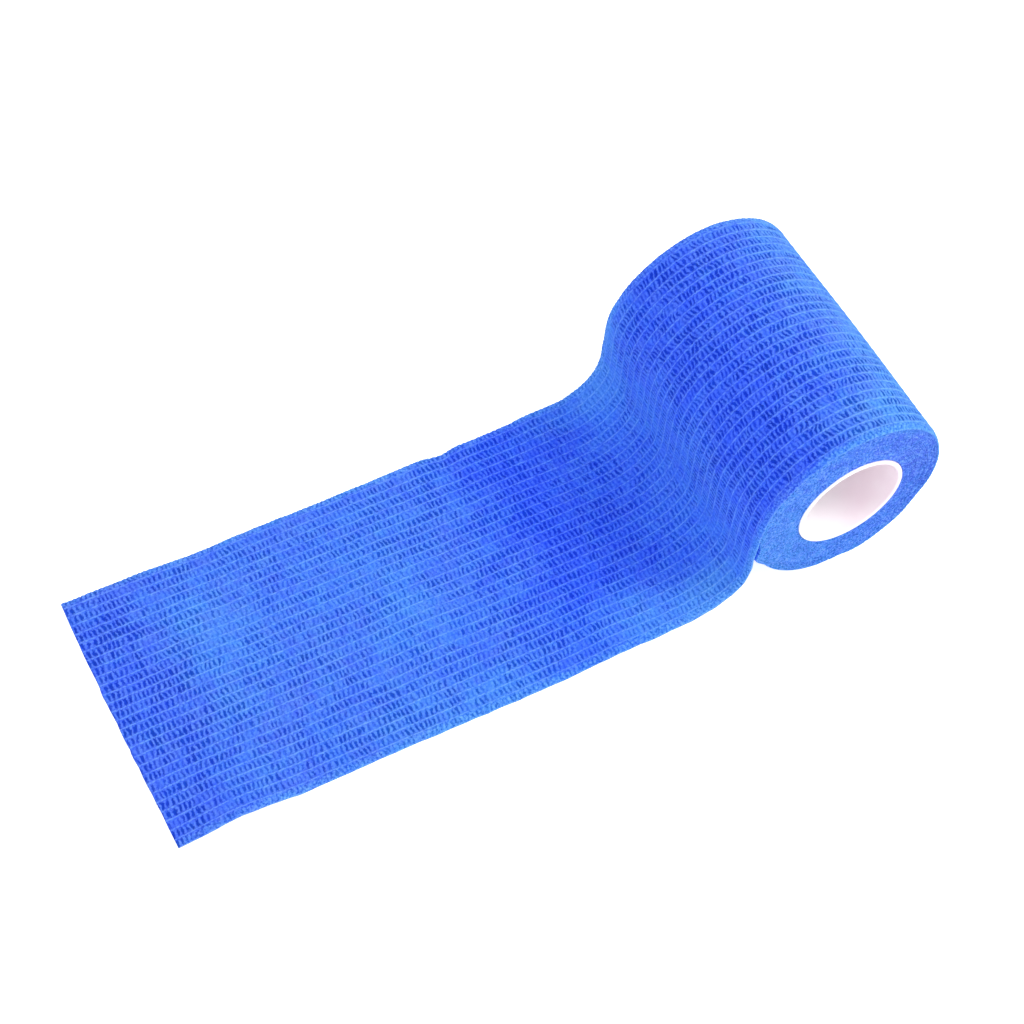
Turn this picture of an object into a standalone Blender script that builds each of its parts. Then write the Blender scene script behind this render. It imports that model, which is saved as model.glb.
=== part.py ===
"""Cohesive bandage roll: crinkled elastic cloth wound on a plastic core, with its loose end laid out.

Metres, +Z up. The loose end points to -X, the core lies along Y, and everything rests on z = 0.
The origin is under the middle of the whole thing. Shapes are worked out in the roll's own frame,
with x from the core's axis, y from the near end and z from the floor, and each object is then
placed at the roll.
"""

import math
from collections import namedtuple

import bmesh
import bpy

# Driving sizes
WIDTH = 0.0750  # strip, edge to edge
ROLL_RADIUS = 0.0270
BARREL = 0.0003  # how much fuller the roll is half way along
CORE_RADIUS = 0.0150
CORE_WALL = 0.0013
CORE_PROUD = 0.0002  # how far each end of the core stands out of the cloth
CLOTH = 0.0010  # thickness of the loose strip
GAP = 0.0003  # between pieces that touch
FLAT_DROP = 0.0005  # how far the roll has settled onto its flat spot
TURNED_EDGE = 0.0006  # rounding of the outer turn at the roll's ends
CORE_LIP = 0.0004  # rounding of the core's ends

# Elastic threads that run along the strip and stand up as fine ribs
THREADS = 27
SELVEDGE = 0.0021  # from each edge to the first thread
RIB = 0.0003

# The free end of the strip, as distances from the core's axis
NEAR_CORNER = 0.1823
FAR_CORNER = 0.1833
END_BOW = 0.0005
END_BOW_MIDDLE = 0.6  # share of the width

# Angles about the core, from +X towards +Z, in degrees
SEAM = 116.0  # where the outer turn ends as a step and the loose strip goes on from it
SEAM_SLOPE = 0.2
STRIP_START = 117.0
PARTING = 186.0  # where the turn beneath the strip starts to come back to full radius
REBATE_END = 212.0
KEY_STEP = 14.0

# Mesh fineness
TURNS_AROUND = 60
CORE_SIDES = 48
FOLD_ROWS = 2  # rows for each stretch between two sections of the fold
FLAT_ROW = 0.0062
UNDERSIDE_COLUMNS = 8
SLOPE_STEP = 0.05  # share of a stretch of the fold over which its slope is measured
SMOOTH_UP_TO = math.radians(35.0)

# Sections of the fold between the roll and the floor: the strip's upper face at its near edge
# and at its far edge, which stands a little away from the roll.
Section = namedtuple("Section", "name near_x near_z far_x far_z")
FOLD = (
    Section("parting", -0.0267, 0.0200, -0.0291, 0.0205),
    Section("upright", -0.0273, 0.0137, -0.0295, 0.0140),
    Section("bend", -0.0297, 0.0086, -0.0318, 0.0090),
    Section("rise", -0.0332, 0.0048, -0.0354, 0.0053),
    Section("sweep", -0.0378, 0.0027, -0.0400, 0.0029),
    Section("toe", -0.0440, 0.0013, -0.0464, 0.0017),
    Section("landing", -0.0520, CLOTH, -0.0560, CLOTH),
)
FAR_BULGE = 0.0022  # how far the far edge stands off the roll where it parts
BULGE_START = 122.0

# Soft swells where the laid strip lifts off the floor
Swell = namedtuple("Swell", "name x y half_length half_breadth height")
SWELLS = (
    Swell("near edge wave", -0.1655, -0.002, 0.0180, 0.026, 0.0027),
    Swell("end swell", -0.1560, 0.050, 0.0130, 0.026, 0.0006),
    Swell("middle swell", -0.1050, 0.034, 0.0150, 0.030, 0.0008),
    Swell("near swell", -0.0640, 0.004, 0.0110, 0.022, 0.0008),
    Swell("far swell", -0.0500, 0.077, 0.0110, 0.020, 0.0009),
)

# Waves of the laid strip's two edges; out is how far the edge stands out there, or in if less than 0
Wave = namedtuple("Wave", "name x half_length out")
NEAR_EDGE = (
    Wave("long bow", -0.0850, 0.0500, 0.0006),
    Wave("end ripple", -0.1620, 0.0150, 0.0002),
)
FAR_EDGE = (
    Wave("nick", -0.0775, 0.0060, -0.0008),
    Wave("long hollow", -0.1200, 0.0500, -0.0004),
    Wave("end hollow", -0.1480, 0.0160, -0.0006),
)
EDGE_FADE = 6  # power by which an edge wave fades towards the middle of the strip

# Flattened places of the roll's rim, by their angle and half spread in degrees
Dent = namedtuple("Dent", "name angle half_spread near_depth far_depth")
DENTS = (
    Dent("lower front", -24.0, 38.0, 0.0013, 0.0004),
    Dent("front", 14.0, 30.0, 0.0007, 0.0005),
    Dent("lower back", 217.0, 26.0, 0.0004, 0.0003),
)

AXIS_HEIGHT = ROLL_RADIUS - FLAT_DROP


def mix(start, end, share):
    return start + (end - start) * share


def hill(distance, half):
    """1 at the middle, falling smoothly to 0 at half and beyond."""
    if abs(distance) >= half:
        return 0.0
    return math.cos(0.5 * math.pi * distance / half) ** 2


def ease(value, start, end):
    """0 before start, 1 after end, smooth between them."""
    share = min(max((value - start) / (end - start), 0.0), 1.0)
    return share * share * (3.0 - 2.0 * share)


def on_curve(keys, place):
    """A point of the smooth curve through the keys, which it reaches at whole places."""
    index = min(int(place), len(keys) - 2)
    t = place - index
    before = keys[max(index - 1, 0)]
    after = keys[min(index + 2, len(keys) - 1)]
    point = []
    for p0, p1, p2, p3 in zip(before, keys[index], keys[index + 1], after):
        cubic = 3.0 * (p1 - p2) + p3 - p0
        square = 2.0 * p0 - 5.0 * p1 + 4.0 * p2 - p3
        point.append(p1 + 0.5 * t * (p2 - p0 + t * (square + t * cubic)))
    return tuple(point)


def turn_gap(angle, other):
    """Degrees between two angles, the short way round."""
    return (angle - other + 180.0) % 360.0 - 180.0


def rim_radius(angle, across):
    """Radius of the wound cloth at an angle in degrees; across is 0 at the near end, 1 at the far."""
    radius = ROLL_RADIUS + BARREL * hill(across - 0.5, 0.5)
    for dent in DENTS:
        depth = mix(dent.near_depth, dent.far_depth, across)
        radius -= depth * hill(turn_gap(angle, dent.angle), dent.half_spread)
    turned = angle % 360.0
    if turned > SEAM:
        radius -= (CLOTH + GAP) * (1.0 - ease(turned, PARTING, REBATE_END))
    return radius


def fold_keys(across):
    """Sections of the strip's upper face from the seam on the roll to where it lies flat."""
    keys = []
    angle = STRIP_START
    while angle < PARTING:
        radius = ROLL_RADIUS + BARREL * hill(across - 0.5, 0.5)
        radius += FAR_BULGE * across * ease(angle, BULGE_START, PARTING)
        turn = math.radians(angle)
        keys.append((radius * math.cos(turn), AXIS_HEIGHT + radius * math.sin(turn)))
        angle += KEY_STEP
    for section in FOLD:
        x = mix(section.near_x, section.far_x, across)
        keys.append((x, mix(section.near_z, section.far_z, across)))
    return keys


def strip_end(across):
    """x of the free end, which is cut almost straight."""
    return -mix(NEAR_CORNER, FAR_CORNER, across) - END_BOW * hill(across - END_BOW_MIDDLE, END_BOW_MIDDLE)


def strip_section(row, rows_in_fold, rows_flat, across):
    """x, z and the upward normal of the strip's upper face at one row."""
    keys = fold_keys(across)
    if row >= rows_in_fold:
        share = (row - rows_in_fold) / rows_flat
        return mix(keys[-1][0], strip_end(across), share), CLOTH, 0.0, 1.0
    last = len(keys) - 1.0
    place = last * row / rows_in_fold
    x, z = on_curve(keys, place)
    back = on_curve(keys, max(place - SLOPE_STEP, 0.0))
    ahead = on_curve(keys, min(place + SLOPE_STEP, last))
    run = math.hypot(ahead[0] - back[0], ahead[1] - back[1])
    return x, z, (ahead[1] - back[1]) / run, -(ahead[0] - back[0]) / run


def lift_at(x, y):
    """Height of the soft swells above the floor."""
    height = 0.0
    for swell in SWELLS:
        lengthwise = hill(x - swell.x, swell.half_length)
        height += swell.height * lengthwise * hill(y - swell.y, swell.half_breadth)
    return height


def edge_shift(x, across):
    """How far the uneven edges push a point across, strongest at the edge itself."""
    near = sum(wave.out * hill(x - wave.x, wave.half_length) for wave in NEAR_EDGE)
    far = sum(wave.out * hill(x - wave.x, wave.half_length) for wave in FAR_EDGE)
    return far * across**EDGE_FADE - near * (1.0 - across) ** EDGE_FADE


def rib_columns():
    """(distance across, groove depth): each thread is a crest, with a groove halfway between threads."""
    pitch = (WIDTH - 2.0 * SELVEDGE) / (THREADS - 1)
    columns = [(0.0, RIB)]
    for thread in range(THREADS):
        crest = SELVEDGE + thread * pitch
        columns.append((crest, 0.0))
        if thread < THREADS - 1:
            columns.append((crest + 0.5 * pitch, RIB))
    columns.append((WIDTH, RIB))
    return columns


def make_material(name, colour, roughness):
    material = bpy.data.materials.new(name)
    material.use_nodes = True
    shader = material.node_tree.nodes["Principled BSDF"]
    shader.inputs["Base Color"].default_value = (*colour, 1.0)
    shader.inputs["Roughness"].default_value = roughness
    shader.inputs["Metallic"].default_value = 0.0
    return material


def make_object(name, bm, material, place):
    bmesh.ops.recalc_face_normals(bm, faces=bm.faces)
    mesh = bpy.data.meshes.new(name)
    bm.to_mesh(mesh)
    bm.free()
    mesh.materials.append(material)
    mesh.shade_smooth()
    mesh.set_sharp_from_angle(angle=SMOOTH_UP_TO)
    obj = bpy.data.objects.new(name, mesh)
    obj.location = place
    bpy.context.scene.collection.objects.link(obj)
    return obj


def spin_profile(profile, steps):
    """A bmesh of the closed profile of (radius, y) points, spun once about the core's axis."""
    bm = bmesh.new()
    points = [bm.verts.new((radius, y, AXIS_HEIGHT)) for radius, y in profile]
    ring = [bm.edges.new(pair) for pair in zip(points, points[1:] + points[:1])]
    bmesh.ops.spin(
        bm,
        geom=points + ring,
        cent=(0.0, 0.0, AXIS_HEIGHT),
        axis=(0.0, 1.0, 0.0),
        angle=2.0 * math.pi,
        steps=steps,
        use_merge=True,
    )
    return bm


def make_core(material, place):
    """A plain tube with rounded lips, as long as the strip is wide."""
    bore = CORE_RADIUS - CORE_WALL
    near = -CORE_PROUD
    far = WIDTH + CORE_PROUD
    profile = [
        (CORE_RADIUS, near + CORE_LIP),
        (CORE_RADIUS, far - CORE_LIP),
        (CORE_RADIUS - CORE_LIP, far),
        (bore + CORE_LIP, far),
        (bore, far - CORE_LIP),
        (bore, near + CORE_LIP),
        (bore + CORE_LIP, near),
        (CORE_RADIUS - CORE_LIP, near),
    ]
    return make_object("core", spin_profile(profile, CORE_SIDES), material, place)


def make_roll(material, place):
    """The wound cloth in one piece: ribbed outside, a little uneven, flat where it rests."""
    bore = CORE_RADIUS + GAP
    columns = rib_columns()[1:-1]
    profile = [(bore, 0.0), (ROLL_RADIUS - TURNED_EDGE, 0.0), (ROLL_RADIUS - RIB, TURNED_EDGE)]
    profile += [(ROLL_RADIUS - groove, y) for y, groove in columns]
    profile += [
        (ROLL_RADIUS - RIB, WIDTH - TURNED_EDGE),
        (ROLL_RADIUS - TURNED_EDGE, WIDTH),
        (bore, WIDTH),
    ]
    bm = spin_profile(profile, TURNS_AROUND)
    for vert in bm.verts:
        x, y, height = vert.co
        radius = math.hypot(x, height - AXIS_HEIGHT)
        if radius < bore + GAP:
            continue
        angle = math.degrees(math.atan2(height - AXIS_HEIGHT, x))
        past_seam = turn_gap(angle, SEAM)
        if abs(past_seam) < 360.0 / TURNS_AROUND:
            angle = SEAM if past_seam <= 0.0 else SEAM + SEAM_SLOPE
        radius *= rim_radius(angle, y / WIDTH) / ROLL_RADIUS
        turn = math.radians(angle)
        vert.co.x = radius * math.cos(turn)
        vert.co.z = max(AXIS_HEIGHT + radius * math.sin(turn), 0.0)
    return make_object("roll", bm, material, place)


def strip_face(bm, columns, rows_in_fold, rows_flat, depth):
    """One face of the strip as a grid, depth below its upper face; returns its rows of points."""
    rows = rows_in_fold + rows_flat
    grid = []
    for row in range(rows + 1):
        line = []
        for y, groove in columns:
            across = y / WIDTH
            x, z, out_x, out_z = strip_section(row, rows_in_fold, rows_flat, across)
            sunk = depth + groove
            lift = lift_at(x, y)
            side = y + edge_shift(x, across)
            point = (x - out_x * sunk, side, max(z - out_z * sunk, 0.0) + lift)
            line.append(bm.verts.new(point))
        grid.append(line)
    for upper, lower in zip(grid, grid[1:]):
        for left in range(len(columns) - 1):
            bm.faces.new((upper[left], upper[left + 1], lower[left + 1], lower[left]))
    return grid


def make_loose_end(material, place):
    """The strip from the seam on the roll, down its side and out along the floor, ribbed on top."""
    bm = bmesh.new()
    rows_in_fold = FOLD_ROWS * (len(fold_keys(0.0)) - 1)
    rows_flat = round((NEAR_CORNER + FOLD[-1].near_x) / FLAT_ROW)
    plain = [(WIDTH * step / UNDERSIDE_COLUMNS, 0.0) for step in range(UNDERSIDE_COLUMNS + 1)]
    top = strip_face(bm, rib_columns(), rows_in_fold, rows_flat, 0.0)
    under = strip_face(bm, plain, rows_in_fold, rows_flat, CLOTH)
    for side in (0, -1):
        for row in range(len(top) - 1):
            bm.faces.new((top[row][side], top[row + 1][side], under[row + 1][side], under[row][side]))
    for end in (0, -1):
        bm.faces.new(top[end] + under[end][::-1])
    return make_object("loose_end", bm, material, place)


def roll_place():
    """Where the roll's near end goes, so that the whole thing is centred over the origin."""
    reach = max(-strip_end(y / WIDTH) for y, groove in rib_columns())
    front = 0.0
    for step in range(TURNS_AROUND):
        angle = 360.0 * step / TURNS_AROUND
        for across in (0.0, 0.5, 1.0):
            front = max(front, rim_radius(angle, across) * math.cos(math.radians(angle)))
    near = max(wave.out for wave in NEAR_EDGE)
    return (0.5 * (reach - front), -0.5 * (WIDTH + CORE_PROUD - near), 0.0)


def main():
    for obj in list(bpy.data.objects):
        bpy.data.objects.remove(obj, do_unlink=True)
    cloth = make_material("blue_crinkled_cloth", (0.045, 0.19, 0.92), 0.9)
    plastic = make_material("white_plastic", (0.86, 0.85, 0.87), 0.35)
    place = roll_place()
    make_core(plastic, place)
    make_roll(cloth, place)
    make_loose_end(cloth, place)


main()
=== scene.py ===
"""Cohesive bandage roll, dressed: crinkled elastic cloth wound on a white core, its loose end laid out.

Metres, in the frame's own axes. Shapes are worked out in the roll's frame, with x from the core's
axis, y from the near end and z from the floor, and each piece is moved to the roll at the end.
"""

import math
from collections import namedtuple

import bmesh
import bpy
import numpy as np
from mathutils import Matrix, Vector


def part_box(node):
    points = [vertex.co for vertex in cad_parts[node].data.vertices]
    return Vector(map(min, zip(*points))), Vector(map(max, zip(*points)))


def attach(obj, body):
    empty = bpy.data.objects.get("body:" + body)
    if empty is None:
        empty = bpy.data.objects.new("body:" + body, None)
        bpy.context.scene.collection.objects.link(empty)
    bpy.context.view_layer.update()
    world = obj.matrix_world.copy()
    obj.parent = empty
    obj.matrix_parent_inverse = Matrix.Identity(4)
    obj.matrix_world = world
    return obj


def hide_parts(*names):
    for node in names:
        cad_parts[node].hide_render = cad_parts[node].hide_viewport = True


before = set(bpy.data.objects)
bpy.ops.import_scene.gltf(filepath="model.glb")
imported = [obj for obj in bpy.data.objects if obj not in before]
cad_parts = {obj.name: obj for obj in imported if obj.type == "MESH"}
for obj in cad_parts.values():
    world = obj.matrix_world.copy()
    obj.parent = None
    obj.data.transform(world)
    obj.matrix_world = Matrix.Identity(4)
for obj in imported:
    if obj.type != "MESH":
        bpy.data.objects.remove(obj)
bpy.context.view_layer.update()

# Sizes of the solids, repeated here
WIDTH = 0.0750  # strip, edge to edge
ROLL_RADIUS = 0.0270
BARREL = 0.0003  # how much fuller the roll is half way along
CORE_RADIUS = 0.0150
CORE_WALL = 0.0013
CORE_PROUD = 0.0002
CLOTH = 0.0010  # thickness of the strip where it lies loose
FLAT_DROP = 0.0005  # how far the roll has settled onto its flat spot
AXIS_HEIGHT = ROLL_RADIUS - FLAT_DROP
THREADS = 27
SELVEDGE = 0.0021  # from each edge to the first thread
THREAD_PITCH = (WIDTH - 2.0 * SELVEDGE) / (THREADS - 1)
NEAR_CORNER = 0.1823
FAR_CORNER = 0.1833
END_BOW = 0.0005
END_BOW_MIDDLE = 0.6

# Angles about the core, from +X towards +Z, in degrees
HIDDEN_START = -93.0  # where the strip starts, on the flat spot under the roll
PARTING = 186.0  # where it leaves the roll
REBATE_END = 212.0  # where the turn under it is as full as the outer turn again
KEY_STEP = 14.0
BULGE_START = 122.0  # from here the far side of the strip stands off the roll a little
FAR_BULGE = 0.0022  # by this much, in metres, at the parting

# Sections of the fold between the roll and the floor: the upper face at the near and far edges
Section = namedtuple("Section", "name near_x near_z far_x far_z")
FOLD = (
    Section("parting", -0.0275, 0.0193, -0.0291, 0.0205),
    Section("upright", -0.0276, 0.0134, -0.0295, 0.0140),
    Section("bend", -0.0292, 0.0086, -0.0318, 0.0090),
    Section("rise", -0.0330, 0.0048, -0.0354, 0.0053),
    Section("sweep", -0.0378, 0.0027, -0.0400, 0.0029),
    Section("toe", -0.0440, 0.0013, -0.0464, 0.0017),
    Section("landing", -0.0520, CLOTH, -0.0560, CLOTH),
)

Swell = namedtuple("Swell", "name x y half_length half_breadth height")
SWELLS = (
    Swell("near edge wave", -0.1655, -0.002, 0.0180, 0.026, 0.0027),
    Swell("end swell", -0.1560, 0.050, 0.0130, 0.026, 0.0006),
    Swell("middle swell", -0.1050, 0.034, 0.0150, 0.030, 0.0008),
    Swell("near swell", -0.0640, 0.004, 0.0110, 0.022, 0.0008),
    Swell("far swell", -0.0500, 0.077, 0.0110, 0.020, 0.0009),
)

Wave = namedtuple("Wave", "name x half_length out")
NEAR_EDGE = (
    Wave("long bow", -0.0850, 0.0500, 0.0006),
    Wave("end ripple", -0.1620, 0.0150, 0.0002),
)
FAR_EDGE = (
    Wave("nick", -0.0775, 0.0060, -0.0008),
    Wave("long hollow", -0.1200, 0.0500, -0.0004),
    Wave("end hollow", -0.1480, 0.0160, -0.0006),
)
EDGE_FADE = 6

Dent = namedtuple("Dent", "name angle half_spread near_depth far_depth")
DENTS = (
    Dent("lower front", -24.0, 38.0, 0.0013, 0.0004),
    Dent("front", 14.0, 30.0, 0.0007, 0.0005),
    Dent("lower back", 226.0, 24.0, 0.0001, 0.0003),
    Dent("drawn out under the parting", 200.0, 12.0, -0.0014, -0.0002),
)
# Where the outer turn parts from the roll, the near side of the turn under it stays behind
STAYS_ANGLE = 194.0
STAYS_SPREAD = 7.5
STAYS_DEPTH = 0.0007
STAYS_BREADTH = 0.4  # share of the width from the near end in which it fades out
PARTED_AT = 0.164  # distance from the cut end about which the strip's edges turn in less
PARTED_REACH = 0.013
PARTED_FLAT = 0.8  # share of the turning in that is lost there

# The crinkle: between two threads the cloth gathers into a ladder of narrow puckers
PUCKER = 0.00127  # from one pucker to the next
PUCKER_DEPTH = 0.00034
PUCKER_SHARPNESS = 3.0
PUCKER_FULLNESS = 0.6  # below 1, so that a pucker keeps its depth nearly up to the threads
PUCKER_MEAN = 0.94  # how strong the puckers are: on average, and the least and the most
PUCKER_RANGE = (0.15, 1.45)
BESIDE_THREAD = 0.00010  # how far the cloth sinks beside a thread
BESIDE_FADE = 0.6  # share of that which is lost midway between threads
ON_THREAD = 1e-6
WOUND_LEAN = 1.75  # how much more the puckers lean and bend where the strip is wound
WOUND_UNTIL = 0.105  # that fades out between these distances from the strip's hidden start
LAID_FROM = 0.145
TURNED_EDGE = 0.00046  # how far the edges of the strip, and the roll's rims, round off
WOUND_CLOTH = 0.00045  # thickness where the strip is wound tight
BANDS = THREADS + 1  # the two selvedges and the bands between threads
BAND_STEPS = 4  # columns in each band
INSIDE_BAND = (0.0, 0.1, 0.5, 0.9)
NEAR_SELVEDGE = (0.0, 0.2, 0.45, 0.75)
FAR_SELVEDGE = (0.0, 0.25, 0.55, 0.8)
COLUMNS = BANDS * BAND_STEPS
ROWS = 812
UNDERSIDE_RATIO = 4  # the underside has a quarter of the rows and columns
CURVE_STEPS = 40  # points on each stretch of the strip's path

# The wound turns that show at the ends of the roll
TURNS = 24
TURN_STEPS = 288
ACROSS_TURN = 3
INNER_TURN = 0.01508  # radius where the first turn starts
COVERED = 0.0004967  # how much lower the turn under the strip lies
TURN_CREST = 0.00016
EDGE_INSET = 0.00022

WHITE_FLOOR = (0.94, 0.95, 0.97)
DULL_FLOOR = (0.92, 0.93, 0.95)
FLOOR_GLOW = 0.20  # how much the white floor glows by itself
FLOOR_HAZE = 0.60  # and how much more for the camera, so brightly that its shadows nearly vanish


# ------------------------------------------------------------------ small helpers


def mix(start, end, share):
    return start + (end - start) * share


def hill(distance, half):
    """1 at the middle, falling smoothly to 0 at half and beyond."""
    share = np.clip(np.abs(distance) / half, 0.0, 1.0)
    return np.cos(0.5 * np.pi * share) ** 2


def ease(value, start, end):
    """0 before start, 1 after end, smooth between them."""
    share = np.clip((value - start) / (end - start), 0.0, 1.0)
    return share * share * (3.0 - 2.0 * share)


def turn_gap(angle, other):
    return (angle - other + 180.0) % 360.0 - 180.0


def random_table(seed, *shape):
    return np.random.default_rng(seed).uniform(-1.0, 1.0, shape)


def waver(table, line, place, step):
    """Smooth noise from -1 to 1 along one line of the table, with a knot every step."""
    at = np.asarray(place) / step
    low = np.floor(at).astype(int)
    share = at - low
    share = share * share * (3.0 - 2.0 * share)
    knots = table.shape[1]
    return mix(table[line, low % knots], table[line, (low + 1) % knots], share)


def ripple(table, x, y, step_x, step_y):
    """Smooth noise from -1 to 1 over a surface."""
    across = np.asarray(y) / step_y
    low = np.floor(across).astype(int)
    share = across - low
    share = share * share * (3.0 - 2.0 * share)
    lines = table.shape[0]
    return mix(waver(table, low % lines, x, step_x), waver(table, (low + 1) % lines, x, step_x), share)


# ------------------------------------------------------------------ form of the strip and the roll


def rim_radius(angle, across):
    """Radius of the outer turn at an angle in degrees; across is 0 at the near end, 1 at the far."""
    radius = ROLL_RADIUS + BARREL * hill(across - 0.5, 0.5)
    for dent in DENTS:
        depth = mix(dent.near_depth, dent.far_depth, across)
        radius = radius - depth * hill(turn_gap(angle, dent.angle), dent.half_spread)
    return radius


def strip_keys(across):
    """Sections of the strip's outer face, from under the roll, round it and down to the floor."""
    keys = []
    angle = HIDDEN_START
    while angle < PARTING:
        radius = rim_radius(angle, across) + FAR_BULGE * across * ease(angle, BULGE_START, PARTING)
        turn = math.radians(angle)
        keys.append((radius * math.cos(turn), AXIS_HEIGHT + radius * math.sin(turn)))
        angle += KEY_STEP
    for section in FOLD:
        x = mix(section.near_x, section.far_x, across)
        keys.append((x, mix(section.near_z, section.far_z, across)))
    return np.array(keys)


def through_keys(keys):
    """Points along the smooth curve that runs through the keys."""
    ends = np.vstack([keys[:1], keys, keys[-1:]])
    t = (np.arange(CURVE_STEPS) / CURVE_STEPS)[:, None]
    points = []
    for p0, p1, p2, p3 in zip(ends, ends[1:], ends[2:], ends[3:]):
        cubic = 3.0 * (p1 - p2) + p3 - p0
        square = 2.0 * p0 - 5.0 * p1 + 4.0 * p2 - p3
        points.append(p1 + 0.5 * t * (p2 - p0 + t * (square + t * cubic)))
    return np.vstack(points + [keys[-1:]])


def strip_end(across):
    """x of the free end, which is cut almost straight."""
    return -mix(NEAR_CORNER, FAR_CORNER, across) - END_BOW * hill(across - END_BOW_MIDDLE, END_BOW_MIDDLE)


def strip_path(across):
    """Outer face along one column: place along it, x, z and the outward normal at every row."""
    points = through_keys(strip_keys(across))
    points[:, 1] = np.maximum(points[:, 1], 0.0)
    points = np.vstack([points, [(strip_end(across), CLOTH)]])
    steps = np.hypot(*np.diff(points, axis=0).T)
    run = np.concatenate([[0.0], np.cumsum(steps)])
    place = np.linspace(0.0, run[-1], ROWS + 1)
    x = np.interp(place, run, points[:, 0])
    z = np.interp(place, run, points[:, 1])
    along_x = np.gradient(x)
    along_z = np.gradient(z)
    size = np.hypot(along_x, along_z)
    return place, x, z, along_z / size, -along_x / size


def lift_at(x, y):
    """Height of the soft swells above the floor."""
    height = 0.0
    for swell in SWELLS:
        lengthwise = hill(x - swell.x, swell.half_length)
        height = height + swell.height * lengthwise * hill(y - swell.y, swell.half_breadth)
    return height


def edge_shift(x, across):
    """How far the uneven edges push a point across, strongest at the edge itself."""
    near = sum(wave.out * hill(x - wave.x, wave.half_length) for wave in NEAR_EDGE)
    far = sum(wave.out * hill(x - wave.x, wave.half_length) for wave in FAR_EDGE)
    return far * across**EDGE_FADE - near * (1.0 - across) ** EDGE_FADE


def column_places():
    """For each column of the strip: its band, how far it is across the band, and its y."""
    band = np.arange(COLUMNS + 1) // BAND_STEPS
    inside = np.tile(INSIDE_BAND, BANDS)
    inside[:BAND_STEPS] = NEAR_SELVEDGE
    inside[-BAND_STEPS:] = FAR_SELVEDGE
    inside = np.append(inside, 1.0)
    band[-1] = BANDS - 1
    return band, inside, band_y(band, inside)


def band_y(band, inside):
    """y of a point a given share of the way across a band."""
    start = np.where(band == 0, 0.0, SELVEDGE + (band - 1) * THREAD_PITCH)
    breadth = np.where((band == 0) | (band == BANDS - 1), SELVEDGE, THREAD_PITCH)
    return start + inside * breadth


# ------------------------------------------------------------------ the crinkle

# Noise along a line and noise over a surface: how strong it is and how far apart its knots are
Stray = namedtuple("Stray", "table amount step")
Uneven = namedtuple("Uneven", "table amount step_x step_y")

PHASE_START = random_table(11, BANDS)
DRIFT = Stray(random_table(12, BANDS, 512), 0.38, 0.0043)
LEAN = Stray(random_table(13, BANDS, 512), 0.36, 0.0034)
FINE_LEAN = Stray(random_table(14, BANDS, 1024), 0.44, 0.0012)
BEND = Stray(random_table(15, BANDS, 512), 0.30, 0.0017)
STRENGTH = Stray(random_table(16, BANDS, 1024), 0.44, 0.0017)
PATCHES = Uneven(random_table(17, 16, 128), 0.28, 0.0060, 0.0055)
WANDER = Uneven(random_table(18, 16, 256), 0.00022, 0.014, 0.009)
EDGE_NOISE = random_table(19, 64, 512)
FRAY = Uneven(EDGE_NOISE, 0.00022, 0.0021, 1.0)
ROUGH_EDGE = Uneven(EDGE_NOISE, 0.00012, 0.0031, 0.01)
TONE_NOISE = random_table(20, 64, 256)
PALER = Uneven(TONE_NOISE, 0.09, 0.009, 0.008)
GREENER = Uneven(TONE_NOISE, 0.24, 0.0045, 0.0065)


def stray_at(stray, line, place):
    return stray.amount * waver(stray.table, line, place, stray.step)


def uneven_at(uneven, x, y):
    return uneven.amount * ripple(uneven.table, x, y, uneven.step_x, uneven.step_y)


def pucker_phase(place, band, inside):
    """Counts puckers along a band. A pucker lies at each whole number, and leans or bends a little."""
    looser = mix(WOUND_LEAN, 1.0, ease(place, WOUND_UNTIL, LAID_FROM))
    lean = (stray_at(LEAN, band, place) + stray_at(FINE_LEAN, band, place)) * looser
    bend = stray_at(BEND, band, place) * looser
    off = inside - 0.5
    bow = 4.0 * off * off - 0.4  # forward at the threads and back midway between them
    return place / PUCKER + PHASE_START[band] + stray_at(DRIFT, band, place) + lean * off + bend * bow


def pucker_valley(place, band, inside):
    """1 along the middle of each pucker, falling to 0 half way to the next."""
    wave = 0.5 + 0.5 * np.cos(2.0 * np.pi * pucker_phase(place, band, inside))
    return wave**PUCKER_SHARPNESS


def pucker_strength(place, band, y):
    """How deep and dark the puckers are, from pucker to pucker and from patch to patch."""
    single = stray_at(STRENGTH, band, place)
    return np.clip(PUCKER_MEAN + single + uneven_at(PATCHES, place, y), *PUCKER_RANGE)


def band_body(band, inside):
    """0 on a thread, 1 midway between threads, and 1 at the strip's own edges."""
    body = np.sin(np.pi * inside)
    body = np.where(band == 0, np.cos(0.5 * np.pi * inside), body)
    body = np.where(band == BANDS - 1, np.sin(0.5 * np.pi * inside), body)
    return np.clip(body, 0.0, 1.0)


def crinkle_depth(band, inside, strength, valley):
    """How far the outer face sinks below its threads."""
    body = band_body(band, inside)
    beside = np.where(body < ON_THREAD, 0.0, BESIDE_THREAD * (1.0 - BESIDE_FADE * body * body))
    return beside + PUCKER_DEPTH * strength * valley * body**PUCKER_FULLNESS


def edge_share(band, inside):
    """1 at the near edge of the strip, -1 at its far edge, 0 from the outermost threads inwards."""
    return np.where(band == 0, 1.0 - inside, 0.0) - np.where(band == BANDS - 1, inside, 0.0)


# ------------------------------------------------------------------ mesh and material helpers

CORE_LOW, CORE_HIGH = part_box("core")
ROLL_PLACE = Vector((0.5 * (CORE_LOW.x + CORE_HIGH.x), CORE_LOW.y + CORE_PROUD, 0.0))


def make_piece(name, mesh, materials):
    """The finished object: at the origin, riding on the part's one body."""
    for material in materials:
        mesh.materials.append(material)
    obj = bpy.data.objects.new(name, mesh)
    bpy.context.scene.collection.objects.link(obj)
    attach(obj, "root")
    return obj


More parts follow.
